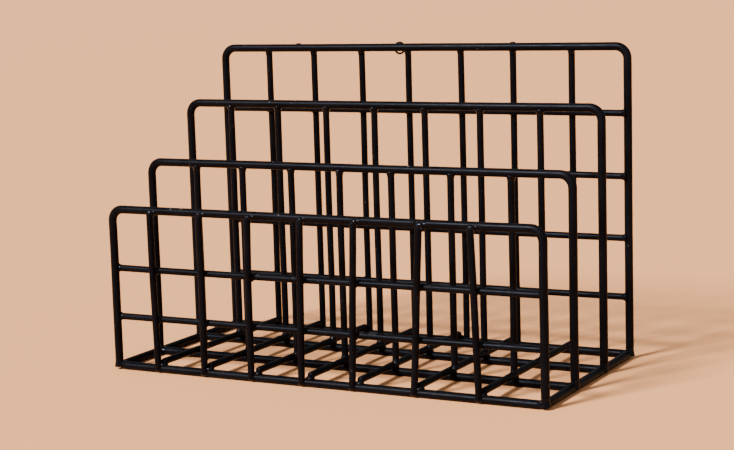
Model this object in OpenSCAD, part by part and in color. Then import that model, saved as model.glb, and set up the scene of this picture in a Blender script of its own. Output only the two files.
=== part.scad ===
// Wall magazine rack of welded steel wire: a flat base grid and four upright
// panels that step up towards the wall, with three slots between them.
// X runs along the rack, -Y is the front, +Z is up. The origin is the middle
// of the footprint, at the height of the surface that the base lies on.

/* [Rack] */
// Width between the centres of a panel's two legs
rack_w = 305; // [260:1:400]
// Depth of the front slot, from panel centre to panel centre
front_slot = 47.5; // [35:0.5:80]
// Depth of the middle slot, from panel centre to panel centre
middle_slot = 50.5; // [35:0.5:80]
// Depth of the rear slot, from panel centre to panel centre
rear_slot = 48.5; // [35:0.5:80]

/* [Panels] */
// Height of the front panel's top rail, at the rail's centre
front_h = 107.5; // [90:0.5:130]
// Height of the middle divider's top rail
middle_h = 133.5; // [100:0.5:170]
// Height of the rear divider's top rail
rear_h = 169.5; // [120:0.5:210]
// Height of the back panel's top rail
back_h = 205; // [195:0.5:260]
// Radius of the bend at a panel's top corners, at the wire's centre
frame_bend = 8; // [5:0.5:14]

/* [Base] */
// How far the base's side rails stand inside the panels' legs
ring_inset = 0.9; // [0:0.1:1.5]
// Radius of the bend at the base's corners, at the wire's centre
ring_bend = 5; // [4:0.5:8]

/* [Wire] */
// Diameter of the wire of the panel frames and the base rails
frame_d = 5.5; // [4:0.1:6.5]
// Diameter of the wire of the uprights, bars and floor
infill_d = 4.5; // [3:0.1:5]

/* [Cells] */
// How much wider the cells right of the fifth upright are than the others
wide_ratio = 1.11; // [1:0.01:1.2]

/* [Bars] */
// Height of the front panel's lower bar
front_bar_low = 35.5; // [25:0.5:45]
// Height of the front panel's upper bar
front_bar_high = 68; // [55:0.5:80]
// Height of the back panel's lowest bar
back_bar_1_h = 41.5; // [25:0.5:50]
// Height of the back panel's second bar
back_bar_2_h = 80.5; // [65:0.5:90]
// Height of the back panel's third bar
back_bar_3_h = 121; // [105:0.5:130]
// Height of the back panel's top bar
back_bar_4_h = 162; // [145:0.5:175]

/* [Welded joints] */
// How far one wire is pressed into another where they cross
set_down = 0.3; // [0.1:0.05:0.5]
// How far a wire's end is shaped over the wire that it stands on
cope = 0.6; // [0.3:0.1:1]
// How far a panel's foot is shaped over the base's rail
foot_cope = 1; // [0.5:0.1:1.5]
// How far the weld beads stand out around a leg's foot
bead_out = 0.7; // [0.3:0.1:1]

/* [Hanging eye] */
// Diameter of the eye's wire
eye_wire_d = 1.4; // [1.2:0.1:2]
// Outer diameter of the eye
eye_d = 9; // [7:0.1:10]
// How far the eye's centre hangs below the centre of the top rail
eye_drop = 0.6; // [0:0.1:1]

/* [Hidden] */
COLUMNS = 7;
CELLS = COLUMNS + 1;
NARROW_CELLS = 5;
FRONT_BARS = [front_bar_low, front_bar_high];
BACK_BARS = [back_bar_1_h, back_bar_2_h, back_bar_3_h, back_bar_4_h];

// Hand-welding scatter of each upright or floor wire from its column, in mm,
// left to right, and how far the front uprights' tops lean to the right.
FLOOR_DRIFT = [-1.5, -2, -2, -0.5, -1.5, -1, 0.5];
FRONT_DRIFT = [-4, -4.5, -6, -5.5, -6, -4, -1];
FRONT_LEAN = [-1.5, 0, 1.5, 2.5, 4, 6, -4];
MIDDLE_DRIFT = [0, -1, -0.5, -1, -0.5, 0.5, 0.5];
REAR_DRIFT = [-3, -2, -1, -1, -0.5, -1.5, -0.5];
BACK_DRIFT = [-1, -1, 0.5, 0, 3, 0.5, 1.5];

EYE_COLUMN = 4;
EYE_GAP = 0.2;

frame_r = frame_d / 2;
infill_r = infill_d / 2;
bead_r = frame_r + bead_out;
eye_r = eye_wire_d / 2;
eye_bead_r = eye_wire_d * 0.8;
half_w = rack_w / 2;
ring_half_w = half_w - ring_inset;

base_d = front_slot + middle_slot + rear_slot;
front_y = -base_d / 2;
middle_y = front_y + front_slot;
rear_y = middle_y + middle_slot;
back_y = rear_y + rear_slot;

// The base's rails lie on the floor plane, and the floor wires lie on them.
ring_z = frame_r;
floor_z = frame_d + infill_r - set_down;
foot_z = frame_d - foot_cope;

// In the two outer panels the uprights run outside the frame's plane and the
// bars inside it, so that they cross with the frame's plane between them.
lap = (infill_d - set_down) / 2;
// Its ends stop a little way below the centres of the rails that it lies on.
lap_foot_z = ring_z - frame_r / 2;
lap_top = frame_r / 4;
// Where a lapped bar's centre line meets the leg beside it, or passes it
leg_side = sqrt(max(0, pow(frame_r, 2) - pow(lap, 2)));

narrow_cell = rack_w / (NARROW_CELLS + (CELLS - NARROW_CELLS) * wide_ratio);
wide_cell = narrow_cell * wide_ratio;

$fn = 48;

// Position along the rack of a column of wires, counted from the left
function column_x(i) =
    -half_w + min(i, NARROW_CELLS) * narrow_cell
    + max(i - NARROW_CELLS, 0) * wide_cell;

function drift_x(drift, i) = column_x(i) + drift[i - 1];

// The eye hangs just left of its upright, against the back of the top rail.
eye_x = drift_x(BACK_DRIFT, EYE_COLUMN) - infill_r - eye_d / 2 - EYE_GAP;
eye_y = back_y + frame_r + eye_r - set_down;

module paint() {
    color([0.07, 0.07, 0.075]) children();
}

// A straight round wire from one point to another
module wire(start, end, r) {
    run = end - start;
    length = norm(run);
    translate(start)
        rotate([0, acos(run[2] / length), atan2(run[1], run[0])])
            cylinder(h = length, r = r);
}

// A quarter bend in the XZ plane, from its centre towards +X and +Z
module bend_xz(radius, r) {
    rotate([90, 0, 0])
        rotate_extrude(angle = 90)
            translate([radius, 0])
                circle(r = r);
}

// A quarter bend in the XY plane, from its centre towards +X and +Y
module bend_xy(radius, r) {
    rotate_extrude(angle = 90)
        translate([radius, 0])
            circle(r = r);
}

// The closed rectangle of wire that lies flat under the rack
module ring_solid() {
    side_x = ring_half_w - ring_bend;
    end_y = base_d / 2 - ring_bend;
    translate([0, 0, ring_z]) {
        for (s = [-1, 1]) {
            wire([-side_x, s * base_d / 2, 0], [side_x, s * base_d / 2, 0], frame_r);
            wire([s * ring_half_w, -end_y, 0], [s * ring_half_w, end_y, 0], frame_r);
        }
        for (turn = [0:3])
            mirror([turn % 2, 0, 0])
                mirror([0, floor(turn / 2), 0])
                    translate([side_x, end_y, 0])
                        bend_xy(ring_bend, frame_r);
    }
}

// A panel's frame: two legs and a top rail bent from one wire
module frame_solid(y, top_z) {
    rail_x = half_w - frame_bend;
    bend_z = top_z - frame_bend;
    translate([0, y, 0]) {
        wire([-rail_x, 0, top_z], [rail_x, 0, top_z], frame_r);
        for (s = [0, 1])
            mirror([s, 0, 0]) {
                wire([half_w, 0, foot_z], [half_w, 0, bend_z], frame_r);
                translate([rail_x, 0, bend_z]) bend_xz(frame_bend, frame_r);
            }
    }
}

module rail_solid(y) {
    end_x = ring_half_w - frame_r + cope;
    wire([-end_x, y, ring_z], [end_x, y, ring_z], frame_r);
}

module floor_wire_solid(i) {
    x = drift_x(FLOOR_DRIFT, i);
    end = set_down / 2;
    wire([x, front_y - end, floor_z], [x, back_y + end, floor_z], infill_r);
}

// An upright of the front or back panel, lapped against both rails
module lapped_upright(x, lean, y, top_z) {
    wire([x, y, lap_foot_z], [x + lean, y, top_z - lap_top], infill_r);
}

module front_upright_solid(i) {
    lapped_upright(drift_x(FRONT_DRIFT, i), FRONT_LEAN[i - 1], front_y - lap, front_h);
}

module back_upright_solid(i) {
    lapped_upright(drift_x(BACK_DRIFT, i), 0, back_y + lap, back_h);
}

// An upright of a divider, standing on a floor wire under the top rail
module standing_upright(x, y, top_z, i) {
    start_z = floor_z + infill_r - cope;
    end_z = top_z - frame_r + cope;
    paint()
        difference() {
            wire([x, y, start_z], [x, y, end_z], infill_r);
            floor_wire_solid(i);
            wire([-half_w, y, top_z], [half_w, y, top_z], frame_r);
        }
}

module base_ring() {
    paint() ring_solid();
}

// A rail across the base, fitted between the side rails
module base_rail(y) {
    paint()
        difference() {
            rail_solid(y);
            ring_solid();
        }
}

// A floor wire, pressed onto the four rails and against the outer uprights
module floor_wire(i) {
    paint()
        difference() {
            floor_wire_solid(i);
            ring_solid();
            rail_solid(middle_y);
            rail_solid(rear_y);
            front_upright_solid(i);
            back_upright_solid(i);
        }
}

// A panel's frame, with its feet fitted over the base ring
module panel_frame(y, top_z) {
    paint()
        difference() {
            frame_solid(y, top_z);
            ring_solid();
        }
}

module front_upright(i) {
    paint()
        difference() {
            front_upright_solid(i);
            frame_solid(front_y, front_h);
            ring_solid();
        }
}

module back_upright(i) {
    paint()
        difference() {
            back_upright_solid(i);
            frame_solid(back_y, back_h);
            ring_solid();
        }
}

// A bar between a panel's legs, pressed onto the uprights that it crosses
module front_bar(i) {
    end_x = half_w - leg_side + cope;
    z = FRONT_BARS[i - 1];
    paint()
        difference() {
            wire([-end_x, front_y + lap, z], [end_x, front_y + lap, z], infill_r);
            frame_solid(front_y, front_h);
            for (c = [1:COLUMNS]) front_upright_solid(c);
        }
}

module back_bar(i) {
    end_x = half_w - leg_side + cope;
    z = BACK_BARS[i - 1];
    paint()
        difference() {
            wire([-end_x, back_y - lap, z], [end_x, back_y - lap, z], infill_r);
            frame_solid(back_y, back_h);
            for (c = [1:COLUMNS]) back_upright_solid(c);
        }
}

// The ring of the hanging eye, flat behind the back panel's top rail
module eye_solid() {
    translate([eye_x, eye_y, back_h - eye_drop])
        rotate([90, 0, 0])
            rotate_extrude()
                translate([eye_d / 2 - eye_r, 0])
                    circle(r = eye_r);
}

module hanging_eye() {
    paint()
        difference() {
            eye_solid();
            frame_solid(back_y, back_h);
        }
}

// The spot of weld between the eye's upper arc and the rail, turned to face up
// and back as the crease between them does
module eye_weld() {
    paint()
        difference() {
            translate([eye_x + eye_r / 2, eye_y - eye_r, back_h + frame_r - set_down])
                rotate([-45, 0, 0])
                    sphere(r = eye_bead_r);
            frame_solid(back_y, back_h);
            eye_solid();
        }
}

// The beads around the eight feet of the panels
module foot_welds() {
    panels = [[front_y, front_h], [middle_y, middle_h], [rear_y, rear_h], [back_y, back_h]];
    paint()
        difference() {
            for (p = panels, s = [-1, 1])
                translate([s * half_w, p[0], foot_z + foot_cope / 2])
                    sphere(r = bead_r);
            ring_solid();
            for (p = panels) frame_solid(p[0], p[1]);
            rail_solid(middle_y);
            rail_solid(rear_y);
        }
}

base_ring();
base_rail(middle_y);  // base_rail_middle
base_rail(rear_y);  // base_rail_rear
for (i = [1:COLUMNS]) {
    floor_wire(i);
    front_upright(i);
    standing_upright(drift_x(MIDDLE_DRIFT, i), middle_y, middle_h, i);
    standing_upright(drift_x(REAR_DRIFT, i), rear_y, rear_h, i);
    back_upright(i);
}
for (i = [1:len(FRONT_BARS)])
    front_bar(i);
for (i = [1:len(BACK_BARS)])
    back_bar(i);
panel_frame(front_y, front_h);  // front_frame
panel_frame(middle_y, middle_h);  // middle_frame
panel_frame(rear_y, rear_h);  // rear_frame
panel_frame(back_y, back_h);  // back_frame
hanging_eye();
eye_weld();
foot_welds();
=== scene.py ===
"""Looks for a wall magazine rack of black powder-coated, hand-welded steel wire.

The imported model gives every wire's place and thickness. This script draws each wire again as a swept
round bar with hand-straightened bows, rounded ends and slightly flattened bends, lays a lump of weld metal
over every joint, and coats it all in satin black powder coat. Lengths are in metres.
"""

import logging
import math
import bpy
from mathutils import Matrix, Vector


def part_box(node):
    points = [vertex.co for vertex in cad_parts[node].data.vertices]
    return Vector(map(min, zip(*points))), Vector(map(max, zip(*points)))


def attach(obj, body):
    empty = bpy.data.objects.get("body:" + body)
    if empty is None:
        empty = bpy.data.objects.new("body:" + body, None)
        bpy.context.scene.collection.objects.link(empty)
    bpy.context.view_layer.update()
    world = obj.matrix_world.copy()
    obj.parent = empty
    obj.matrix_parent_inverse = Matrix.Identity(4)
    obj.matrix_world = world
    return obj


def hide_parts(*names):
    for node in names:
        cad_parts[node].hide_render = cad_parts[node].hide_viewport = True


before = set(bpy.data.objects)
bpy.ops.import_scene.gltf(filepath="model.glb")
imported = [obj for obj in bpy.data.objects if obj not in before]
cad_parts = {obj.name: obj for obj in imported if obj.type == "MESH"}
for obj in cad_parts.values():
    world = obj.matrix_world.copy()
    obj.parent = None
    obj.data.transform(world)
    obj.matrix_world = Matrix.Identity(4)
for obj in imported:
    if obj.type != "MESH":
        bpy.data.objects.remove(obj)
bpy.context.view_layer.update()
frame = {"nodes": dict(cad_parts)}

import zlib
from collections.abc import Sequence
from dataclasses import dataclass, field
from enum import Enum

import bmesh
import bpy
import numpy as np
from mathutils import Matrix, Vector

MM = 0.001
BODY = "root"
COLUMNS = 7
log = logging.getLogger("magazine_rack")


# --- Numbers that repeat ---


def seeded(name: str) -> np.random.Generator:
    """Return a random generator that is the same for one name on every run.

    Args:
        name: The piece or joint that the numbers are for.

    Returns:
        A numpy generator seeded with the name's checksum.
    """
    return np.random.default_rng(zlib.crc32(name.encode()))


def unit(vectors: np.ndarray) -> np.ndarray:
    """Return the vectors in the last axis at length one."""
    return vectors / np.linalg.norm(vectors, axis=-1, keepdims=True)


def smooth_step(x: np.ndarray) -> np.ndarray:
    """Return a ramp from 0 to 1 with level ends: three x squared less two x cubed, between 0 and 1."""
    t = np.clip(x, 0.0, 1.0)
    return t * t * (3.0 - 2.0 * t)


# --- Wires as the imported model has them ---


@dataclass(frozen=True)
class Wire:
    """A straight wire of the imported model: the two ends of its centreline and its radius."""

    name: str
    start: np.ndarray
    end: np.ndarray
    radius: float

    def at(self, share: float) -> np.ndarray:
        """Return the centreline's point at a share of its length."""
        return self.start + (self.end - self.start) * share

    def at_height(self, z: float) -> np.ndarray:
        """Return the centreline's point at a height, for an upright."""
        return self.at((z - self.start[2]) / (self.end[2] - self.start[2]))


def node_points(name: str) -> np.ndarray:
    """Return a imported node's vertices.

    Args:
        name: The node.

    Returns:
        The vertices as rows of x, y and z.
    """
    mesh = frame["nodes"][name].data
    flat = np.zeros(len(mesh.vertices) * 3)
    mesh.vertices.foreach_get("co", flat)
    return flat.reshape(-1, 3)


def read_wire(name: str, axis: int, radius: float) -> Wire:
    """Read a straight wire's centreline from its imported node.

    The middle of the points within one wire's thickness of each end gives that end, so a leaning wire keeps
    its lean.

    Args:
        name: The node.
        axis: 0, 1 or 2 for a wire that runs mainly along X, Y or Z.
        radius: The wire's radius.

    Returns:
        The wire, from its low end to its high end along the axis.
    """
    points = node_points(name)
    along = points[:, axis]
    low, high = along.min(), along.max()
    slice_depth = 2.0 * radius
    ends = []
    for limit, side in ((low, along < low + slice_depth), (high, along > high - slice_depth)):
        middle = (points[side].min(axis=0) + points[side].max(axis=0)) / 2.0
        middle[axis] = limit
        ends.append(middle)
    return Wire(name, ends[0], ends[1], radius)


# --- Surfaces ---


@dataclass
class Surface:
    """Vertices, quads and a rub value for each vertex, which says how much hands and paper polish it."""

    points: np.ndarray
    quads: np.ndarray
    rub: np.ndarray

    @staticmethod
    def joined(parts: Sequence["Surface"]) -> "Surface":
        """Return one surface that holds all the parts, side by side."""
        offsets = np.cumsum([0] + [len(p.points) for p in parts[:-1]])
        return Surface(
            np.concatenate([p.points for p in parts]),
            np.concatenate([p.quads + o for p, o in zip(parts, offsets)]),
            np.concatenate([p.rub for p in parts]),
        )


def grid_quads(rows: int, columns: int, closed_rows: bool = False) -> np.ndarray:
    """Return the quads of a grid whose columns run round and close.

    Quad (i, j) joins point j and its neighbour in row i with the same two points in row i + 1.

    Args:
        rows: How many rings of points there are.
        columns: How many points a ring has.
        closed_rows: True if the last ring also joins the first.

    Returns:
        The quads as rows of four point numbers, facing away from the grid's axis.
    """
    last = rows if closed_rows else rows - 1
    i, j = np.meshgrid(np.arange(last), np.arange(columns), indexing="ij")
    i_next, j_next = (i + 1) % rows, (j + 1) % columns
    quads = (i * columns + j, i * columns + j_next, i_next * columns + j_next, i_next * columns + j)
    return np.stack(quads, axis=-1).reshape(-1, 4)


def swept_wire(path: np.ndarray, radius: np.ndarray, normal: np.ndarray, closed: bool = False,
               squash: np.ndarray | None = None, sides: int = 20) -> Surface:
    """Carry a round profile along a path that lies in one plane.

    Each ring is its path point plus the radius times the cosine of the angle along the plane's normal, plus
    the radius times the sine of the angle along the in-plane side, which is the tangent turned a quarter
    turn. Where the wire is squashed, the side part is longer and the normal part shorter by that share.

    Args:
        path: Points along the centreline.
        radius: The radius at each point. An open wire's ends shrink to nothing.
        normal: The normal of the path's plane.
        closed: True if the path returns to its start.
        squash: The share by which each ring is flattened, or None.
        sides: Points in each ring.

    Returns:
        The surface, with its rub at zero.
    """
    if closed:
        tangent = unit(np.roll(path, -1, axis=0) - np.roll(path, 1, axis=0))
    else:
        tangent = unit(np.gradient(path, axis=0))
    side = unit(np.cross(tangent, normal))
    up = unit(np.cross(side, tangent))
    flat = np.zeros(len(path)) if squash is None else squash
    angle = np.linspace(0.0, 2.0 * math.pi, sides, endpoint=False)
    across = (radius * (1.0 + flat))[:, None, None] * np.sin(angle)[None, :, None] * side[:, None, :]
    upward = (radius * (1.0 - flat))[:, None, None] * np.cos(angle)[None, :, None] * up[:, None, :]
    points = (path[:, None, :] + upward + across).reshape(-1, 3)
    return Surface(points, grid_quads(len(path), sides, closed), np.zeros(len(points)))


def rounded_ends(length: np.ndarray, radius: float, dome: float) -> np.ndarray:
    """Return the radius along a wire whose two ends are rounded over.

    Within one dome's depth of an end the radius follows a quarter of an ellipse, from nothing to the full
    radius, and between the domes it is the full radius.

    Args:
        length: The distance of each point along the wire, from 0.
        radius: The wire's radius.
        dome: How deep each rounded end is.

    Returns:
        The radius at each point.
    """
    near = np.minimum(length, length[-1] - length)
    rise = np.clip(near / dome, 0.0, 1.0)
    return radius * np.sqrt(np.clip(1.0 - (1.0 - rise) ** 2, 0.0, 1.0))


def stations(total: float, dome: float, step: float) -> np.ndarray:
    """Return distances along a wire, close together over its rounded ends and even in between.

    Args:
        total: The wire's length.
        dome: The depth of each rounded end.
        step: The spacing between the ends.

    Returns:
        The distances, from 0 to the total.
    """
    over_dome = dome * (1.0 - np.cos(np.linspace(0.0, math.pi / 2.0, 6)))
    middle = np.linspace(dome, total - dome, max(int(total / step), 4))[1:-1]
    return np.concatenate([over_dome, middle, total - over_dome[::-1]])


def close_poles(mesh: bpy.types.Mesh, gap: float = 0.0005 * MM) -> None:
    """Merge the points of a surface that lie on one another, which closes its ends, and face it outwards.

    Args:
        mesh: The surface's mesh, which is changed.
        gap: How near two points lie to be merged.
    """
    work = bmesh.new()
    work.from_mesh(mesh)
    bmesh.ops.remove_doubles(work, verts=work.verts, dist=gap)
    bmesh.ops.recalc_face_normals(work, faces=work.faces)
    work.to_mesh(mesh)
    work.free()


def build(name: str, surface: Surface, finish: "Finish", replaced: Sequence[str] = ()) -> None:
    """Make a piece from a surface, dress it and let it ride on the rack.

    Args:
        name: The piece's name.
        surface: Its points, quads and rub.
        finish: Its finish.
        replaced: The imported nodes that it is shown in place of.
    """
    mesh = bpy.data.meshes.new(name)
    mesh.vertices.add(len(surface.points))
    mesh.vertices.foreach_set("co", surface.points.astype(np.float32).ravel())
    mesh.loops.add(surface.quads.size)
    mesh.loops.foreach_set("vertex_index", surface.quads.astype(np.int32).ravel())
    mesh.polygons.add(len(surface.quads))
    mesh.polygons.foreach_set("loop_start", np.arange(0, surface.quads.size, 4, dtype=np.int32))
    mesh.polygons.foreach_set("use_smooth", np.ones(len(surface.quads), dtype=bool))
    mesh.update(calc_edges=True)
    rub = mesh.attributes.new("rub", "FLOAT", "POINT")
    rub.data.foreach_set("value", surface.rub.astype(np.float32))
    close_poles(mesh)
    mesh.materials.append(finish.material)
    piece = bpy.data.objects.new(name, mesh)
    bpy.context.scene.collection.objects.link(piece)
    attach(piece, BODY)
    if replaced:
        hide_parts(*replaced)
    log.info("%s: %d points, %d faces", name, len(mesh.vertices), len(mesh.polygons))


def hand_bow(name: str, share: np.ndarray, depth: float) -> np.ndarray:
    """Return the sideways bow that a hand-straightened wire keeps.

    The bow is the sum of three sine waves of one, two and three half-periods, each with a seeded weight, so
    it is nothing at both ends.

    Args:
        name: The wire, which seeds the weights.
        share: Where each point lies along the wire, from 0 to 1.
        depth: The largest bow that one wave may have.

    Returns:
        The bow at each point.
    """
    weights = seeded(name).uniform(-1.0, 1.0, 3) / np.arange(1, 4)
    waves = np.sin(np.pi * np.outer(share, np.arange(1, 4)))
    return depth * waves @ weights


def coat_swell(name: str, length: np.ndarray) -> np.ndarray:
    """Return how the coat's thickness varies along a wire, as a factor of its radius.

    The factor is just under one, and rises to one where two sine waves, about 23 and 7 mm long and with
    seeded phases, crest together.

    Args:
        name: The wire, which seeds the phases.
        length: The distance of each point along the wire.

    Returns:
        The factor at each point.
    """
    phases = seeded(name + "_coat").uniform(0.0, 2.0 * math.pi, 2)
    long_wave = np.sin(2.0 * math.pi * length / (23.0 * MM) + phases[0])
    short_wave = np.sin(2.0 * math.pi * length / (7.0 * MM) + phases[1])
    return 0.99 + 0.006 * long_wave + 0.004 * short_wave


def rub_on_top(surface: Surface, centre_z: float, radius: float, amount: float) -> None:
    """Mark the upper side of a level rail as rubbed, from none at its centre to the amount on its crown.

    Args:
        surface: The rail, whose rub is written.
        centre_z: The height of the rail's centreline.
        radius: The rail's radius.
        amount: The rub on the crown, from 0 to 1.
    """
    surface.rub = amount * smooth_step((surface.points[:, 2] - centre_z) / radius)


# --- Finishes ---


class Slot(Enum):
    """The record's material slots."""

    FRAME = "coated_frame"
    WIRE = "coated_wire"
    WELD = "coated_weld"


class NodeSheet:
    """A short hand for laying out nodes in a material or a node group."""

    def __init__(self, tree: bpy.types.NodeTree) -> None:
        """Start a sheet on a node tree."""
        self.tree = tree

    def add(self, kind: str, settings: dict[str, object] | None = None,
            **inputs: object) -> bpy.types.Node:
        """Add a node, set it up and link or fill its inputs.

        Args:
            kind: The node's type name.
            settings: Properties of the node itself.
            **inputs: Input names, with underscores for spaces, each given a socket or a value. A name that
                starts with "at" and a number means the input at that place.

        Returns:
            The new node.
        """
        node = self.tree.nodes.new(kind)
        for key, value in (settings or {}).items():
            setattr(node, key, value)
        for key, value in inputs.items():
            place = key[2:]
            socket = node.inputs[int(place)] if key.startswith("at") and place.isdigit() else (
                node.inputs[key.replace("_", " ")])
            if isinstance(value, bpy.types.NodeSocket):
                self.tree.links.new(value, socket)
            else:
                socket.default_value = value
        return node

    def math(self, operation: str, *values: object) -> bpy.types.NodeSocket:
        """Add a Math node on sockets or numbers and return its output."""
        inputs = {f"at{i}": v for i, v in enumerate(values)}
        return self.add("ShaderNodeMath", {"operation": operation}, **inputs).outputs[0]

    def span(self, value: bpy.types.NodeSocket, low: float, high: float,
             to_low: object = 0.0, to_high: object = 1.0) -> bpy.types.NodeSocket:
        """Stretch a value from one span to another, smoothly and clamped, and return the output."""
        node = self.add("ShaderNodeMapRange", {"interpolation_type": "SMOOTHSTEP"}, at0=value, at1=low,
                        at2=high, at3=to_low, at4=to_high)
        return node.outputs[0]

    def blend(self, factor: object, first: object, second: object) -> bpy.types.NodeSocket:
        """Mix two colours by a factor and return the output."""
        node = self.add("ShaderNodeMix", {"data_type": "RGBA"}, at0=factor, at6=first, at7=second)
        return node.outputs[2]

    def noise(self, place: bpy.types.NodeSocket, scale: float, detail: float = 2.0,
              roughness: float = 0.5) -> bpy.types.NodeSocket:
        """Add a Noise texture at a place and scale and return its value."""
        node = self.add("ShaderNodeTexNoise", Vector=place, Scale=scale, Detail=detail, Roughness=roughness)
        return node.outputs[0]


def coat_group() -> bpy.types.NodeTree:
    """Return the node group for sprayed and baked powder coat, made once and shared by every finish.

    It puts out the coat's colour with its mottle, dust, rub and specks, its roughness, and a height that
    adds the orange peel, a fine grain and sparse pinholes.

    Returns:
        The group.
    """
    found = bpy.data.node_groups.get("powder_coat")
    if found:
        return found
    tree = bpy.data.node_groups.new("powder_coat", "ShaderNodeTree")
    for name, kind, value in (
        ("Coat", "NodeSocketColor", (0.01, 0.01, 0.01, 1.0)),
        ("Mottle", "NodeSocketColor", (0.02, 0.02, 0.02, 1.0)),
        ("Dust", "NodeSocketColor", (0.2, 0.18, 0.16, 1.0)),
        ("Speck", "NodeSocketColor", (0.3, 0.3, 0.3, 1.0)),
        ("Rub", "NodeSocketFloat", 0.0),
        ("Roughness", "NodeSocketFloat", 0.4),
        ("Dust Amount", "NodeSocketFloat", 0.1),
        ("Speck Amount", "NodeSocketFloat", 0.1),
        ("Peel", "NodeSocketFloat", 1.0),
    ):
        socket = tree.interface.new_socket(name, in_out="INPUT", socket_type=kind)
        socket.default_value = value
    for name, kind in (("Color", "NodeSocketColor"), ("Roughness", "NodeSocketFloat"),
                       ("Height", "NodeSocketFloat")):
        tree.interface.new_socket(name, in_out="OUTPUT", socket_type=kind)
    sheet = NodeSheet(tree)
    given = sheet.add("NodeGroupInput").outputs
    place = sheet.add("ShaderNodeTexCoord").outputs["Object"]
    up = sheet.add("ShaderNodeSeparateXYZ", Vector=sheet.add("ShaderNodeNewGeometry").outputs["Normal"])

    cloud = sheet.noise(place, 38.0, 3.0, 0.6)
    drift = sheet.noise(place, 160.0, 2.0)
    peel = sheet.noise(place, 620.0, 2.0, 0.45)
    grain = sheet.noise(place, 2600.0, 1.0)
    pits = sheet.add("ShaderNodeTexVoronoi", Vector=place, Scale=310.0, Randomness=1.0).outputs["Distance"]
    chips = sheet.add("ShaderNodeTexVoronoi", Vector=place, Scale=240.0, Randomness=1.0)

    mottled = sheet.blend(sheet.span(cloud, 0.35, 0.7), given["Coat"], given["Mottle"])
    facing_up = sheet.span(up.outputs["Z"], 0.25, 1.0)
    settled = sheet.math("MULTIPLY", facing_up, sheet.span(drift, 0.35, 0.75))
    dust = sheet.math("MULTIPLY", settled, given["Dust Amount"])
    dusted = sheet.blend(dust, mottled, given["Dust"])
    chip_size = sheet.span(sheet.noise(place, 90.0, 1.0), 0.52, 0.8, 0.0, 0.34)
    chip = sheet.math("LESS_THAN", chips.outputs["Distance"], chip_size)
    rubbed = sheet.math("ADD", given["Speck Amount"], sheet.math("MULTIPLY", given["Rub"], 0.35))
    specks = sheet.math("MULTIPLY", chip, rubbed)
    color = sheet.blend(specks, dusted, given["Speck"])

    uneven = sheet.span(drift, 0.3, 0.7, -0.06, 0.06)
    rough = sheet.math("ADD", given["Roughness"], uneven)
    rough = sheet.math("ADD", rough, sheet.math("MULTIPLY", dust, 0.6))
    rough = sheet.math("SUBTRACT", rough, sheet.math("MULTIPLY", given["Rub"], 0.1))

    pinhole = sheet.span(pits, 0.0, 0.12, -0.6, 0.0)
    height = sheet.math("MULTIPLY", peel, given["Peel"])
    height = sheet.math("ADD", height, sheet.math("MULTIPLY", grain, 0.12))
    height = sheet.math("ADD", height, pinhole)
    sheet.add("NodeGroupOutput", Color=color, Roughness=rough, Height=height)
    return tree


@dataclass(frozen=True)
class Finish:
    """A material and the record's slot that it stands for."""

    material: bpy.types.Material
    slot: str


@dataclass(frozen=True)
class PowderCoat:
    """A satin black powder coat, as it lies on one kind of metal."""

    slot: Slot
    coat: tuple[float, float, float] = (0.0015, 0.0016, 0.0024)
    mottle: tuple[float, float, float] = (0.0031, 0.0032, 0.0042)
    dust: tuple[float, float, float] = (0.16, 0.135, 0.115)
    speck: tuple[float, float, float] = (0.16, 0.155, 0.16)
    roughness: float = 0.4
    specular: float = 0.055
    gleam: tuple[float, float, float] = (0.8, 0.84, 1.0)
    dust_amount: float = 0.02
    speck_amount: float = 0.06
    peel: float = 1.0
    peel_depth: float = 0.05 * MM

    def finish(self) -> Finish:
        """Build the finish.

        Returns:
            The finish. Its material is one Principled shader fed by the shared coat group and a Bump node.
        """
        made = bpy.data.materials.new(self.slot.value)
        made.use_nodes = True
        made.node_tree.nodes.clear()
        sheet = NodeSheet(made.node_tree)
        rub = sheet.add("ShaderNodeAttribute", {"attribute_name": "rub"}).outputs["Fac"]
        coat = sheet.add("ShaderNodeGroup", {"node_tree": coat_group()}, Coat=(*self.coat, 1.0),
                         Mottle=(*self.mottle, 1.0), Dust=(*self.dust, 1.0), Speck=(*self.speck, 1.0),
                         Rub=rub, Roughness=self.roughness, Dust_Amount=self.dust_amount,
                         Speck_Amount=self.speck_amount, Peel=self.peel)
        bump = sheet.add("ShaderNodeBump", Height=coat.outputs["Height"], Distance=self.peel_depth,
                         Strength=1.0)
        shader = sheet.add("ShaderNodeBsdfPrincipled", Base_Color=coat.outputs["Color"],
                           Roughness=coat.outputs["Roughness"], Normal=bump.outputs["Normal"], Metallic=0.0,
                           IOR=1.5, Specular_IOR_Level=self.specular, Specular_Tint=(*self.gleam, 1.0))
        sheet.add("ShaderNodeOutputMaterial", Surface=shader.outputs["BSDF"])
        return Finish(made, self.slot.value)


@dataclass
class Finishes:
    """The three finishes of the rack, built once."""

    frame: Finish
    wire: Finish
    weld: Finish

    @staticmethod
    def make() -> "Finishes":
        """Build all three finishes, the weld's thicker and glossier than the drawn wire's."""
        return Finishes(
            frame=PowderCoat(Slot.FRAME).finish(),
            wire=PowderCoat(Slot.WIRE, roughness=0.41).finish(),
            weld=PowderCoat(Slot.WELD, roughness=0.27, specular=0.1, speck_amount=0.12, peel=1.8,
                            peel_depth=0.12 * MM).finish(),
        )


# --- Weld metal ---


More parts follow.
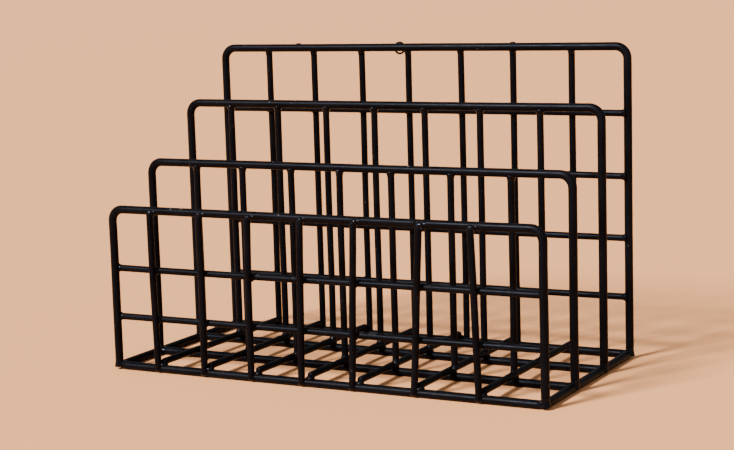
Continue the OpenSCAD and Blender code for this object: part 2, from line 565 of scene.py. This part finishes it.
@dataclass(frozen=True)
class Collar:
    """A ring of weld metal where a wire's end stands on or under another wire."""

    name: str
    origin: np.ndarray
    axis: np.ndarray
    spread: np.ndarray
    radius: float
    height: float = 2.6 * MM
    swell: float = 0.8 * MM
    sink: float = 1.2 * MM
    rings: int = 7
    sides: int = 12

    def surface(self) -> Surface:
        """Work out the collar.

        Seen along the wire, each ring is a circle that widens towards the other wire by the square of what
        is left of the collar's height, and half as much again along the other wire. Three seeded ripples
        round the ring and one swell along it make it lumpy. A point inside the wire closes each end.

        Returns:
            The closed surface.
        """
        rng = seeded(self.name)
        axis = unit(self.axis)
        along = unit(self.spread - axis * (self.spread @ axis))
        across = np.cross(axis, along)
        level = np.linspace(0.0, 1.0, self.rings)
        angle = np.linspace(0.0, 2.0 * math.pi, self.sides, endpoint=False)
        phases = rng.uniform(0.0, 2.0 * math.pi, 4)
        lumps = (np.cos(angle[None, :] + phases[0]) + 0.6 * np.cos(2.0 * angle[None, :] + phases[1])
                 + 0.4 * np.cos(3.0 * angle[None, :] + phases[2] + 4.0 * level[:, None]))
        fall = (1.0 - level[:, None]) ** 2
        hump = np.exp(-((level[:, None] - 0.35) / 0.25) ** 2)
        wider = 1.0 + 0.5 * np.cos(angle[None, :]) ** 2
        bead = self.swell * (fall * wider + 0.22 * lumps * (fall + 0.6 * hump) * (1.0 - level[:, None]))
        ring = self.radius * (1.0 - 0.03 * level[:, None]) + np.maximum(bead, -0.02 * self.radius)
        uneven = 1.0 + 0.18 * np.cos(angle[None, :] + phases[3])
        height = -self.sink + (self.sink + self.height * uneven) * level[:, None]
        outward = np.cos(angle)[:, None] * along + np.sin(angle)[:, None] * across
        points = self.origin + ring[..., None] * outward + height[..., None] * axis
        low = np.broadcast_to(self.origin - axis * self.sink * 1.2, (1, self.sides, 3))
        high = np.broadcast_to(self.origin + axis * self.height * 1.05, (1, self.sides, 3))
        grid = np.concatenate([low, points, high])
        return Surface(grid.reshape(-1, 3), grid_quads(self.rings + 2, self.sides)[:, ::-1],
                       np.zeros(grid.shape[0] * grid.shape[1]))


@dataclass(frozen=True)
class Tack:
    """A lump of weld metal in the creases where two wires cross."""

    name: str
    origin: np.ndarray
    along: np.ndarray
    across: np.ndarray
    size: tuple[float, float, float] = (2.45 * MM, 2.45 * MM, 1.9 * MM)
    lobes: float = 0.42
    rows: int = 8
    sides: int = 12

    def surface(self) -> Surface:
        """Work out the lump.

        It is an ellipsoid whose radius grows in the four diagonal directions between the wires, each by its
        own seeded share of the lobes, and by a seeded ripple.

        Returns:
            The closed surface.
        """
        rng = seeded(self.name)
        along, across = unit(self.along), unit(self.across)
        normal = np.cross(along, across)
        tilt = np.linspace(0.0, math.pi, self.rows)[:, None]
        turn = np.linspace(0.0, 2.0 * math.pi, self.sides, endpoint=False)[None, :]
        flat_x, flat_y = np.sin(tilt) * np.cos(turn), np.sin(tilt) * np.sin(turn)
        upward = np.cos(tilt) * np.ones_like(turn)
        base = 1.0 / np.sqrt((flat_x / self.size[0]) ** 2 + (flat_y / self.size[1]) ** 2
                             + (upward / self.size[2]) ** 2)
        share = rng.uniform(0.25, 1.3, 4)
        quadrant = sum(
            share[k] * np.clip((sx * flat_x + sy * flat_y) / math.sqrt(2.0), 0.0, 1.0) ** 4
            for k, (sx, sy) in enumerate(((1, 1), (-1, 1), (-1, -1), (1, -1)))
        )
        phases = rng.uniform(0.0, 2.0 * math.pi, 3)
        ripple = (np.cos(3.0 * flat_x + phases[0]) + np.cos(3.4 * flat_y + phases[1])
                  + np.cos(3.8 * upward + phases[2])) / 3.0
        reach = base * (1.0 + self.lobes * quadrant + 0.1 * ripple)
        points = (self.origin + (reach * flat_x)[..., None] * along + (reach * flat_y)[..., None] * across
                  + (reach * upward)[..., None] * normal)
        return Surface(points.reshape(-1, 3), grid_quads(self.rows, self.sides)[:, ::-1],
                       np.zeros(self.rows * self.sides))


def all_metal(beads: Sequence[Collar | Tack]) -> Surface:
    """Return one surface that holds all the beads."""
    return Surface.joined([bead.surface() for bead in beads])


# --- The rack's wires ---


@dataclass(frozen=True)
class Gauge:
    """The wire sizes and the bends that the rack is made with."""

    frame_r: float = 2.75 * MM
    infill_r: float = 2.25 * MM
    frame_bend: float = 8.0 * MM
    ring_bend: float = 5.0 * MM
    eye_r: float = 0.7 * MM


GAUGE = Gauge()
X_AXIS = np.array([1.0, 0.0, 0.0])
Y_AXIS = np.array([0.0, 1.0, 0.0])
Z_AXIS = np.array([0.0, 0.0, 1.0])


@dataclass(frozen=True)
class StraightWire:
    """A straight wire drawn again with its hand-made bow and its rounded, coated ends."""

    wire: Wire
    bow_axis: np.ndarray
    bow: float = 0.25 * MM
    dome: float = 1.1 * MM
    reach: float = 0.0
    step: float = 4.0 * MM

    def surface(self) -> Surface:
        """Work out the wire: its line, longer by the reach at each end, moved sideways by the bow.

        Returns:
            The closed surface.
        """
        run = self.wire.end - self.wire.start
        total = float(np.linalg.norm(run)) + 2.0 * self.reach
        heading = unit(run)
        length = stations(total, self.dome, self.step)
        bow = hand_bow(self.wire.name, length / total, self.bow)
        path = self.wire.start + (length - self.reach)[:, None] * heading + bow[:, None] * self.bow_axis
        radius = rounded_ends(length, self.wire.radius, self.dome) * coat_swell(self.wire.name, length)
        return swept_wire(path, radius, np.cross(heading, self.bow_axis))


def bent_path(corners: np.ndarray, bend: float, step: float, closed: bool,
              turns: int = 8) -> tuple[np.ndarray, np.ndarray]:
    """Return a path through corners, each rounded by an arc.

    Between two arcs the points lie evenly on the straight. On an arc they are the arc's centre plus the
    bend's radius times the sine and cosine of the angle turned so far.

    Args:
        corners: The corner points, with the two ends first and last where the path is open.
        bend: The arcs' radius, for corners of a right angle.
        step: The spacing on the straights.
        closed: True if the last corner joins the first.
        turns: How many steps each arc has.

    Returns:
        The points, and how far each one is round its bend, from 0 on the straights to 1 in mid-bend.
    """
    count = len(corners)
    points, share = [], []
    for k in range(count):
        corner = corners[k]
        is_end = not closed and k in (0, count - 1)
        after = corners[(k + 1) % count]
        heading = unit(after - corner)
        if is_end:
            arc, turned = corner[None, :], np.zeros(1)
        else:
            before = unit(corner - corners[k - 1])
            centre = corner - before * bend + heading * bend
            angle = np.linspace(0.0, math.pi / 2.0, turns + 1)
            arc = centre - bend * (np.cos(angle)[:, None] * heading - np.sin(angle)[:, None] * before)
            turned = np.sin(2.0 * angle)
        points.append(arc)
        share.append(turned)
        if closed or k < count - 1:
            ends_open = not closed and k + 1 == count - 1
            start = arc[-1]
            stop = after if ends_open else after - heading * bend
            steps = max(int(np.linalg.norm(stop - start) / step), 3)
            inner = np.linspace(0.0, 1.0, steps + 1)[1:-1, None]
            points.append(start + (stop - start) * inner)
            share.append(np.zeros(steps - 1))
    return np.concatenate(points), np.concatenate(share)


@dataclass(frozen=True)
class PanelFrame:
    """A panel's frame: two legs and a top rail bent from one wire, flattened a little in its bends."""

    node: str
    bow: float = 0.22 * MM
    flatten: float = 0.05
    foot_z: float = 3.2 * MM
    dome: float = 1.0 * MM
    rub: float = 1.0

    def surface(self) -> Surface:
        """Work out the frame from its node's box.

        The path rises from one foot, turns over the top rail and comes down to the other foot. The legs bow
        along the rack and the rail bows up and down, each by less than half a millimetre.

        Returns:
            The closed surface, rubbed along the crown of its top rail.
        """
        low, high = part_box(self.node)
        r, y = GAUGE.frame_r, (low.y + high.y) / 2.0
        left, right, top = low.x + r, high.x - r, high.z - r
        foot = self.foot_z
        corners = np.array([(left, y, foot), (left, y, top), (right, y, top), (right, y, foot)])
        path, turned = bent_path(corners, GAUGE.frame_bend, 4.0 * MM, closed=False)
        length = np.concatenate([[0.0], np.cumsum(np.linalg.norm(np.diff(path, axis=0), axis=1))])
        across = (path[:, 0] - left) / (right - left)
        up = (path[:, 2] - foot) / (top - foot)
        inside = np.sign(0.5 - across)
        path[:, 2] -= np.abs(hand_bow(self.node + "_rail", across, self.bow)) * (up > 0.9)
        path[:, 0] += inside * np.abs(hand_bow(self.node + "_leg", up, self.bow)) * (up < 0.95)
        radius = rounded_ends(length, r, self.dome) * coat_swell(self.node, length)
        surface = swept_wire(path, radius, Y_AXIS, squash=self.flatten * turned)
        rub_on_top(surface, top, r, self.rub)
        return surface


@dataclass(frozen=True)
class BaseRing:
    """The closed rectangle of wire under the rack, with the butt weld that closes it in its back rail."""

    node: str = "base_ring"
    seam_at: float = 0.58
    seam_swell: float = 0.14 * MM
    seam_length: float = 2.2 * MM
    flatten: float = 0.04

    def surface(self) -> Surface:
        """Work out the ring from its node's box.

        The radius swells over the butt weld as a bell curve of the distance from it.

        Returns:
            The closed surface.
        """
        low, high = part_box(self.node)
        r = GAUGE.frame_r
        left, right, front, back = low.x + r, high.x - r, low.y + r, high.y - r
        z = (low.z + high.z) / 2.0
        corners = np.array([(left, front, z), (right, front, z), (right, back, z), (left, back, z)])
        path, turned = bent_path(corners, GAUGE.ring_bend, 4.0 * MM, closed=True)
        seam_x = left + self.seam_at * (right - left)
        away = np.hypot(path[:, 0] - seam_x, path[:, 1] - back)
        radius = np.full(len(path), r) + self.seam_swell * np.exp(-((away / self.seam_length) ** 2))
        surface = swept_wire(path, radius, Z_AXIS, closed=True, squash=self.flatten * turned)
        surface.points[:, 2] = np.maximum(surface.points[:, 2], low.z)
        return surface


@dataclass(frozen=True)
class HangingEye:
    """The small ring of thin wire behind the back panel's top rail."""

    node: str = "hanging_eye"
    out_of_round: float = 0.04

    def centre(self) -> np.ndarray:
        """Return the middle of the ring."""
        low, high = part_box(self.node)
        return np.array([(low.x + high.x) / 2.0, high.y - GAUGE.eye_r, (low.z + high.z) / 2.0])

    def surface(self) -> Surface:
        """Work out the ring: an upright circle, pulled slightly oval by the cosine of twice its angle.

        Returns:
            The closed surface.
        """
        low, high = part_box(self.node)
        reach = (high.x - low.x) / 2.0 - GAUGE.eye_r
        turn = np.linspace(0.0, 2.0 * math.pi, 40, endpoint=False)
        pull = reach * (1.0 - self.out_of_round * (0.5 - 0.5 * np.cos(2.0 * turn)))
        flat = np.stack([pull * np.cos(turn), np.zeros_like(turn), reach * np.sin(turn)], axis=1)
        radius = np.full(len(turn), GAUGE.eye_r)
        return swept_wire(self.centre() + flat, radius, -Y_AXIS, closed=True, sides=12)


# --- The rack's sub-assemblies ---


def upright_wires(prefix: str, outer: float) -> list[Wire]:
    """Read a panel's seven uprights.

    An upright that laps its rails is cut back where it meets them, so its place in Y comes from the face
    that stands outside the panel.

    Args:
        prefix: The nodes' name without the number.
        outer: -1 if the low-Y faces are whole, 1 if the high-Y faces are, 0 if both are.

    Returns:
        The uprights from left to right.
    """
    wires = []
    for i in range(1, COLUMNS + 1):
        name = f"{prefix}_{i}"
        wire = read_wire(name, 2, GAUGE.infill_r)
        if outer:
            low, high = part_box(name)
            y = low.y + GAUGE.infill_r if outer < 0 else high.y - GAUGE.infill_r
            wire.start[1] = wire.end[1] = y
        wires.append(wire)
    return wires


def end_collars(wire: Wire, spread: np.ndarray, height: float, swell: float, sink: float = 1.2 * MM,
                inset: float = 0.0) -> list[Collar]:
    """Return the weld collars round the two ends of a wire that runs from left to right.

    Args:
        wire: The wire.
        spread: The line of the wires that it ends at.
        height: How far along the wire the metal reaches.
        swell: How far the metal stands out from the wire.
        sink: How far it reaches past the wire's end.
        inset: How far in from the ends the collars stand.

    Returns:
        The left collar and the right one.
    """
    ends = (("left", wire.start, X_AXIS), ("right", wire.end, -X_AXIS))
    return [
        Collar(f"{wire.name}_{side}", end + inset * inward, inward, spread, wire.radius, height=height,
               swell=swell, sink=sink)
        for side, end, inward in ends
    ]


@dataclass
class Base:
    """The flat wire base: ring, two cross rails, seven floor wires and the welds between them."""

    finishes: Finishes
    rails: tuple[str, str] = ("base_rail_middle", "base_rail_rear")
    tack_sink: float = 0.1 * MM

    def build(self) -> None:
        """Build and dress every wire and weld of the base."""
        build("base_ring_wire", BaseRing().surface(), self.finishes.frame, ["base_ring"])
        beads: list[Collar | Tack] = []
        for name in self.rails:
            rail = read_wire(name, 0, GAUGE.frame_r)
            wire = StraightWire(rail, Y_AXIS, bow=0.15 * MM, reach=1.0 * MM)
            build(f"{name}_wire", wire.surface(), self.finishes.frame, [name])
            beads += end_collars(rail, Y_AXIS, height=3.2 * MM, swell=0.6 * MM)
        ring_low, ring_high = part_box("base_ring")
        lines = [ring_low.y + GAUGE.frame_r, ring_high.y - GAUGE.frame_r]
        lines[1:1] = [float(read_wire(name, 0, GAUGE.frame_r).start[1]) for name in self.rails]
        for i in range(1, COLUMNS + 1):
            name = f"floor_wire_{i}"
            wire = read_wire(name, 1, GAUGE.infill_r)
            wire.start[2] = wire.end[2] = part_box(name)[1].z - GAUGE.infill_r
            made = StraightWire(wire, X_AXIS, bow=0.3 * MM, dome=1.3 * MM)
            build(f"{name}_wire", made.surface(), self.finishes.wire, [name])
            for k, y in enumerate(lines):
                spot = wire.at((y - wire.start[1]) / (wire.end[1] - wire.start[1]))
                spot[2] = ring_high.z - self.tack_sink
                beads.append(Tack(f"{name}_tack_{k}", spot, X_AXIS, Y_AXIS))
        welds = all_metal(beads)
        welds.points[:, 2] = np.maximum(welds.points[:, 2], ring_low.z)
        build("base_welds", welds, self.finishes.weld)


@dataclass(frozen=True)
class HeadWeld:
    """The weld metal round the head of an upright that laps its rail.

    A lump covers the cut end, a smaller one runs out along the rail on its right, and a flare fills the
    corner under the rail. A bead that has grown a lot also carries three drops of spatter.
    """

    upright: Wire
    face_y: float
    rail_z: float
    outward: float
    grown: float
    lump: tuple[float, float, float] = (2.7 * MM, 1.95 * MM, 1.75 * MM)
    run: tuple[float, float, float] = (2.7 * MM, 1.25 * MM, 1.1 * MM)
    drop: tuple[float, float, float] = (1.5 * MM, 1.1 * MM, 1.35 * MM)
    drops: tuple[tuple[float, float], ...] = ((-3.3, 0.9), (1.9, -2.4), (-0.8, -3.4))
    size_range: tuple[float, float] = (0.9, 1.1)
    run_range: tuple[float, float] = (2.6, 3.6)
    spatters_above: float = 1.3
    widest_flare: float = 1.3

    def place(self, right: float, up: float, outwards: float) -> np.ndarray:
        """Return a point near the head.

        Args:
            right: How many millimetres it lies to the right of the head.
            up: How many millimetres it lies above the head.
            outwards: How many millimetres it lies outside the rail's outer face.

        Returns:
            The point.
        """
        end = self.upright.end
        head = np.array([end[0], self.face_y, end[2]])
        return head + MM * (right * X_AXIS + up * Z_AXIS + outwards * self.outward * Y_AXIS)

    def beads(self) -> list[Collar | Tack]:
        """Work out the metal. How large it is and how far it runs along the rail are seeded by the upright.

        Returns:
            The two lumps, the flare and any drops.
        """
        name = self.upright.name
        rng = seeded(f"{name}_head_size")
        size = self.grown * rng.uniform(*self.size_range)
        along = rng.uniform(*self.run_range)
        corner = np.array([self.upright.end[0], self.upright.start[1] - 0.9 * MM * self.outward,
                           self.rail_z - 0.5 * GAUGE.frame_r])
        made: list[Collar | Tack] = [
            Tack(f"{name}_head", self.place(0.5, -0.4, -0.1), X_AXIS, Z_AXIS,
                 (self.lump[0] * size, *self.lump[1:]), lobes=0.1),
            Tack(f"{name}_run", self.place(along, 0.3, -0.5), X_AXIS, Z_AXIS,
                 (self.run[0] * size, *self.run[1:]), lobes=0.2),
            Collar(f"{name}_flare", corner, -Z_AXIS, X_AXIS, 0.95 * GAUGE.infill_r, height=3.2 * MM,
                   swell=0.6 * MM * min(size, self.widest_flare), sink=1.0 * MM),
        ]
        if self.grown > self.spatters_above:
            for k, (right, up) in enumerate(self.drops):
                spot = self.place(right, up, -0.2)
                made.append(Tack(f"{name}_spatter_{k}", spot, X_AXIS, Z_AXIS, self.drop, lobes=0.5))
        return made


@dataclass
class LappedPanel:
    """The front or back panel: a bent frame, uprights lapped on its outside and bars on its inside."""

    side: str
    outward: float
    bars: int
    finishes: Finishes
    top_bead: dict[int, float] = field(default_factory=dict)
    crown: tuple[float, ...] = ()
    lump_out: float = 0.9 * GAUGE.frame_r
    foot_lump: tuple[float, float, float] = (2.7 * MM, 1.5 * MM, 1.4 * MM)
    foot_rise: float = 1.4 * MM
    crown_lump: tuple[float, float, float] = (2.3 * MM, 1.4 * MM, 1.35 * MM)
    crown_out: float = 0.4 * MM
    crown_drop: float = 0.75 * MM

    def build(self) -> None:
        """Build and dress the panel's frame, uprights, bars and welds."""
        frame_node = f"{self.side}_frame"
        low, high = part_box(frame_node)
        plane_y, top_z = (low.y + high.y) / 2.0, high.z - GAUGE.frame_r
        build(f"{frame_node}_wire", PanelFrame(frame_node).surface(), self.finishes.frame, [frame_node])
        beads: list[Collar | Tack] = []
        uprights = upright_wires(f"{self.side}_upright", self.outward)
        face_y = plane_y + self.outward * self.lump_out
        for i, upright in enumerate(uprights, start=1):
            made = StraightWire(upright, X_AXIS)
            build(f"{upright.name}_wire", made.surface(), self.finishes.wire, [upright.name])
            foot = np.array([upright.start[0], face_y, upright.start[2] + self.foot_rise])
            beads.append(Tack(f"{upright.name}_foot", foot, X_AXIS, Z_AXIS, self.foot_lump, lobes=0.2))
            beads += HeadWeld(upright, face_y, top_z, self.outward, self.top_bead.get(i, 1.0)).beads()
        for k, x in enumerate(self.crown):
            spot = np.array([x, plane_y + self.crown_out * self.outward, high.z - self.crown_drop])
            beads.append(Tack(f"{self.side}_crown_{k}", spot, X_AXIS, Y_AXIS, self.crown_lump, lobes=0.15))
        for k in range(1, self.bars + 1):
            bar = self.bar_wire(f"{self.side}_bar_{k}")
            made = StraightWire(bar, Z_AXIS, reach=0.7 * MM)
            build(f"{bar.name}_wire", made.surface(), self.finishes.wire, [bar.name])
            beads += end_collars(bar, Z_AXIS, height=2.4 * MM, swell=0.7 * MM, sink=GAUGE.frame_r / 2.0,
                                 inset=1.1 * MM)
            for upright in uprights:
                spot = upright.at_height(bar.start[2])
                spot[1] = plane_y
                beads.append(Tack(f"{bar.name}_{upright.name}", spot, X_AXIS, Z_AXIS))
        build(f"{self.side}_panel_welds", all_metal(beads), self.finishes.weld)

    def bar_wire(self, name: str) -> Wire:
        """Read a level bar. Its place in Y comes from the face that stands inside the panel.

        Args:
            name: The bar's node.

        Returns:
            The bar, from left to right.
        """
        bar = read_wire(name, 0, GAUGE.infill_r)
        low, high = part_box(name)
        bar.start[1] = bar.end[1] = high.y - GAUGE.infill_r if self.outward < 0 else low.y + GAUGE.infill_r
        bar.start[2] = bar.end[2] = (low.z + high.z) / 2.0
        return bar


@dataclass
class Divider:
    """The middle or rear divider: a bent frame with uprights that stand on the floor wires."""

    side: str
    finishes: Finishes
    foot_sink: float = 0.4 * MM

    def build(self) -> None:
        """Build and dress the divider's frame, uprights and welds."""
        frame_node = f"{self.side}_frame"
        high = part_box(frame_node)[1]
        rail_under = high.z - 2.0 * GAUGE.frame_r
        build(f"{frame_node}_wire", PanelFrame(frame_node).surface(), self.finishes.frame, [frame_node])
        floor_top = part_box("floor_wire_1")[1].z
        beads: list[Collar | Tack] = []
        for upright in upright_wires(f"{self.side}_upright", 0.0):
            made = StraightWire(upright, X_AXIS, dome=0.5 * MM, reach=0.4 * MM)
            build(f"{upright.name}_wire", made.surface(), self.finishes.wire, [upright.name])
            head, foot = upright.at_height(rail_under), upright.at_height(floor_top - self.foot_sink)
            beads += [
                Collar(f"{upright.name}_head", head, -Z_AXIS, X_AXIS, GAUGE.infill_r, height=3.6 * MM),
                Collar(f"{upright.name}_foot", foot, Z_AXIS, Y_AXIS, GAUGE.infill_r, height=2.8 * MM),
            ]
        build(f"{self.side}_divider_welds", all_metal(beads), self.finishes.weld)


@dataclass
class Feet:
    """The weld beads round the rack's eight feet, with a fillet at each corner of the base ring."""

    finishes: Finishes
    bead_z: float = 4.2 * MM
    bead_r: float = 2.7 * MM
    fillet: tuple[float, float, float] = (2.1 * MM, 1.6 * MM, 1.7 * MM)
    fillet_in: float = 2.9 * MM
    fillet_drop: float = 0.3 * MM

    def build(self) -> None:
        """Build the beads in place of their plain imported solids."""
        beads: list[Collar | Tack] = []
        for side in ("front", "middle", "rear", "back"):
            low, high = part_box(f"{side}_frame")
            y = (low.y + high.y) / 2.0
            legs = (("left", low.x + GAUGE.frame_r, X_AXIS), ("right", high.x - GAUGE.frame_r, -X_AXIS))
            for hand, x, inward in legs:
                name = f"{side}_{hand}_foot"
                spot = np.array([x, y, self.bead_z])
                beads.append(Collar(name, spot, Z_AXIS, Y_AXIS, self.bead_r, height=3.8 * MM,
                                    swell=0.6 * MM, sink=2.4 * MM, rings=8, sides=14))
                if side in ("front", "back"):
                    crease = spot + self.fillet_in * inward - self.fillet_drop * Z_AXIS
                    beads.append(Tack(f"{name}_fillet", crease, X_AXIS, Z_AXIS, self.fillet, lobes=0.2))
        build("foot_beads", all_metal(beads), self.finishes.weld, ["foot_welds"])


@dataclass
class Eye:
    """The hanging eye and the spot of weld that holds it."""

    finishes: Finishes
    lump: tuple[float, float, float] = (1.25 * MM, 0.95 * MM, 0.95 * MM)

    def build(self) -> None:
        """Build the ring and its weld."""
        eye = HangingEye()
        build("hanging_eye_ring", eye.surface(), self.finishes.wire, [eye.node])
        low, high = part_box("eye_weld")
        spot = np.array([(low.x + high.x) / 2.0, (low.y + high.y) / 2.0, (low.z + high.z) / 2.0])
        bead = Tack("eye_weld_bead", spot, X_AXIS, Z_AXIS, self.lump, lobes=0.2)
        build("eye_weld_bead", bead.surface(), self.finishes.weld, ["eye_weld"])


# --- The studio ---


@dataclass(frozen=True)
class Studio:
    """A plain pale floor, soft light from above the front left, and the camera."""

    floor_half: float = 60.0
    floor_color: tuple[float, float, float] = (0.97, 0.42, 0.155)
    sky_color: tuple[float, float, float] = (0.86, 0.87, 0.92)
    sky_strength: float = 0.35
    camera_place: tuple[float, float, float] = (0.5409, -1.0179, 0.2615)
    camera_turn: float = -28.064
    camera_tilt: float = -8.323
    camera_roll: float = -1.69
    camera_lens: float = 87.17

    def camera(self) -> None:
        """Place the camera: it looks along its turn and tilt, and rolls about that line."""
        data = bpy.data.cameras.new("camera")
        data.sensor_width = 36.0
        data.lens = self.camera_lens
        data.clip_start, data.clip_end = 0.01, 200.0
        seen = bpy.data.objects.new("camera", data)
        turn, tilt, roll = (math.radians(a) for a in (self.camera_turn, self.camera_tilt, self.camera_roll))
        forward = Vector((math.sin(turn) * math.cos(tilt), math.cos(turn) * math.cos(tilt), math.sin(tilt)))
        level = Vector((math.cos(turn), -math.sin(turn), 0.0))
        upright = level.cross(forward)
        right = math.cos(roll) * level + math.sin(roll) * upright
        up = -math.sin(roll) * level + math.cos(roll) * upright
        axes = Matrix((right, up, -forward)).transposed().to_4x4()
        seen.matrix_world = Matrix.Translation(self.camera_place) @ axes
        bpy.context.scene.collection.objects.link(seen)
        bpy.context.scene.camera = seen

    def floor(self) -> None:
        """Lay the floor: a plain pale sheet that can be looked through from below."""
        half = self.floor_half
        mesh = bpy.data.meshes.new("floor")
        corners = [(-half, -half, 0.0), (half, -half, 0.0), (half, half, 0.0), (-half, half, 0.0)]
        mesh.from_pydata(corners, [], [(0, 1, 2, 3)])
        paper = bpy.data.materials.new("floor_paper")
        paper.use_nodes = True
        paper.node_tree.nodes.clear()
        sheet = NodeSheet(paper.node_tree)
        matt = sheet.add("ShaderNodeBsdfPrincipled", Base_Color=(*self.floor_color, 1.0), Roughness=0.9)
        clear = sheet.add("ShaderNodeBsdfTransparent")
        behind = sheet.add("ShaderNodeNewGeometry").outputs["Backfacing"]
        mixed = sheet.add("ShaderNodeMixShader", at0=behind, at1=matt.outputs[0], at2=clear.outputs[0])
        sheet.add("ShaderNodeOutputMaterial", Surface=mixed.outputs[0])
        mesh.materials.append(paper)
        floor = bpy.data.objects.new("floor", mesh)
        bpy.context.scene.collection.objects.link(floor)

    def sun(self, name: str, turn: float, height: float, spread: float, strength: float,
            color: tuple[float, float, float]) -> None:
        """Light the rack from far away, so that the floor is evenly bright.

        Args:
            name: The lamp's name.
            turn: Where the light comes from, in degrees right of straight ahead of the front panel.
            height: How high it stands, in degrees above the floor.
            spread: How wide the lamp looks, in degrees, which softens its shadows.
            strength: Its strength.
            color: Its colour.
        """
        data = bpy.data.lights.new(name, "SUN")
        data.angle = math.radians(spread)
        data.energy = strength
        data.color = color
        lamp = bpy.data.objects.new(name, data)
        turned, raised = math.radians(turn), math.radians(height)
        towards = Vector((math.sin(turned) * math.cos(raised), -math.cos(turned) * math.cos(raised),
                          math.sin(raised)))
        lamp.matrix_world = towards.to_track_quat("Z", "Y").to_matrix().to_4x4()
        bpy.context.scene.collection.objects.link(lamp)

    def sky(self) -> None:
        """Light the scene evenly from all round with a pale cool grey."""
        world = bpy.data.worlds.new("studio")
        world.use_nodes = True
        world.node_tree.nodes["Background"].inputs["Color"].default_value = (*self.sky_color, 1.0)
        world.node_tree.nodes["Background"].inputs["Strength"].default_value = self.sky_strength
        bpy.context.scene.world = world

    def build(self) -> None:
        """Set up the camera, floor and lights."""
        self.camera()
        self.floor()
        self.sky()
        self.sun("key_sun", turn=-23.0, height=37.0, spread=12.0, strength=8.1, color=(1.0, 0.985, 1.0))
        self.sun("fill_sun", turn=55.0, height=25.0, spread=40.0, strength=0.35, color=(0.96, 0.97, 1.0))


def main() -> None:
    """Build the studio and the rack."""
    logging.basicConfig(level=logging.INFO, format="%(name)s: %(message)s")
    Studio().build()
    finishes = Finishes.make()
    parts = (
        Base(finishes),
        LappedPanel("front", -1.0, 2, finishes, {6: 1.7, 5: 1.1, 7: 1.2}),
        Divider("middle", finishes),
        Divider("rear", finishes),
        LappedPanel("back", 1.0, 4, finishes, crown=(-91.5 * MM, 72.5 * MM)),
        Feet(finishes),
        Eye(finishes),
    )
    for part in parts:
        part.build()
        log.info("built %s", type(part).__name__)


if __name__ == "__main__":
    main()
